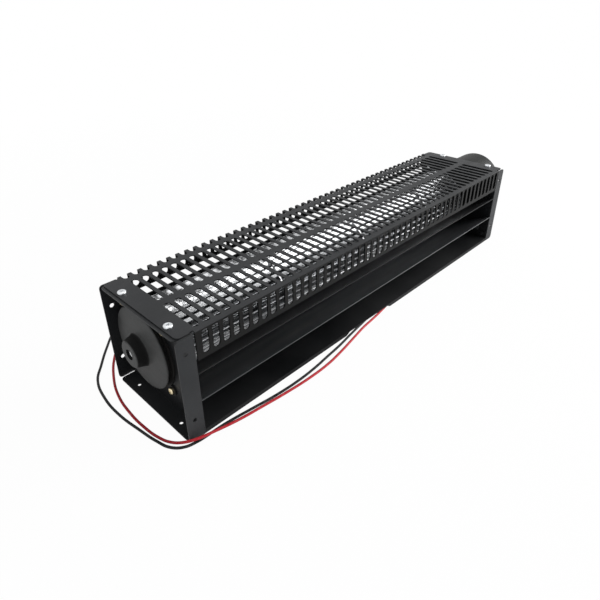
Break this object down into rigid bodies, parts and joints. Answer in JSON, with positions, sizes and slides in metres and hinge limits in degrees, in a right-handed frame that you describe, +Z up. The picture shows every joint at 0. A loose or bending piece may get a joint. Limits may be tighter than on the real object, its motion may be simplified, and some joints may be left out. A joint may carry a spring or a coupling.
{
  "type": "cross-flow fan",
  "caption": "Long cross-flow fan in a black sheet-metal casing with a slotted inlet cover, a bladed wheel, a front outlet slot and a brushed motor on one end.",
  "frame": {"origin": "centre of the four foot holes, on the underside of the end plates", "axes": "+X along the wheel towards the motor, -Y out of the air outlet, +Z up"},
  "size_m": [0.6588, 0.2354, 0.1106],
  "materials": {
    "casing": "satin black powder coat",
    "cover": "satin black powder coat",
    "zinc_screw": "bright zinc plate",
    "brass_screw": "plain brass",
    "black_rivet": "satin black",
    "dish_moulding": "matt dark grey moulding",
    "wheel_metal": "bright rolled sheet",
    "bearing_steel": "ground",
    "motor_paint": "semi-gloss black",
    "magnet": "dull ferrite",
    "bush_bronze": "sintered bronze",
    "core_steel": "laminated steel",
    "copper": "enamelled copper",
    "phenolic": "brown laminate",
    "carbon": "pressed carbon",
    "grommet_rubber": "matt",
    "red_insulation": "smooth red insulation",
    "black_insulation": "smooth black insulation",
    "tinned_copper": "tinned strands"
  },
  "bodies": {
    "housing": {"near_end_plate": "casing", "far_end_plate": "casing", "grille_cover": "cover", "base_and_back_wall": "casing", "scroll_sheet": "casing", "tongue_sheet": "casing", "shell_rivets": "black_rivet", "cover_screws": "zinc_screw", "bearing_bracket": "casing", "bearing_dish": "dish_moulding", "bracket_screws": "brass_screw", "bearing_outer_race": "bearing_steel", "bearing_balls": "bearing_steel", "motor_collar": "casing", "collar_screws": "zinc_screw", "motor_can": "motor_paint", "motor_end_cap": "motor_paint", "motor_bolts": "zinc_screw", "motor_magnets": "magnet", "front_bush": "bush_bronze", "rear_bush": "bush_bronze", "brush_plate": "phenolic", "brush_holders": "brass_screw", "carbon_brushes": "carbon", "brush_springs": "bearing_steel", "brush_terminals": "brass_screw", "lead_grommet": "grommet_rubber", "red_lead": "red_insulation", "black_lead": "black_insulation", "lead_ends": "tinned_copper"},
    "rotor": {"wheel_near_disc": "wheel_metal", "wheel_middle_discs": "wheel_metal", "wheel_far_disc": "wheel_metal", "wheel_blades_1": "wheel_metal", "wheel_blades_2": "wheel_metal", "wheel_blades_3": "wheel_metal", "wheel_blades_4": "wheel_metal", "hub_grub_screw": "black_rivet", "stub_shaft": "bearing_steel", "bearing_inner_race": "bearing_steel", "motor_shaft": "bearing_steel", "armature_core": "core_steel", "armature_winding": "copper", "commutator": "copper"}
  },
  "joints": [
    {"name": "wheel_spin", "type": "hinge", "parent": "housing", "child": "rotor", "pos_m": [0, 0.0165, 0.0555], "axis": [1, 0, 0], "continuous": true}
  ]
}
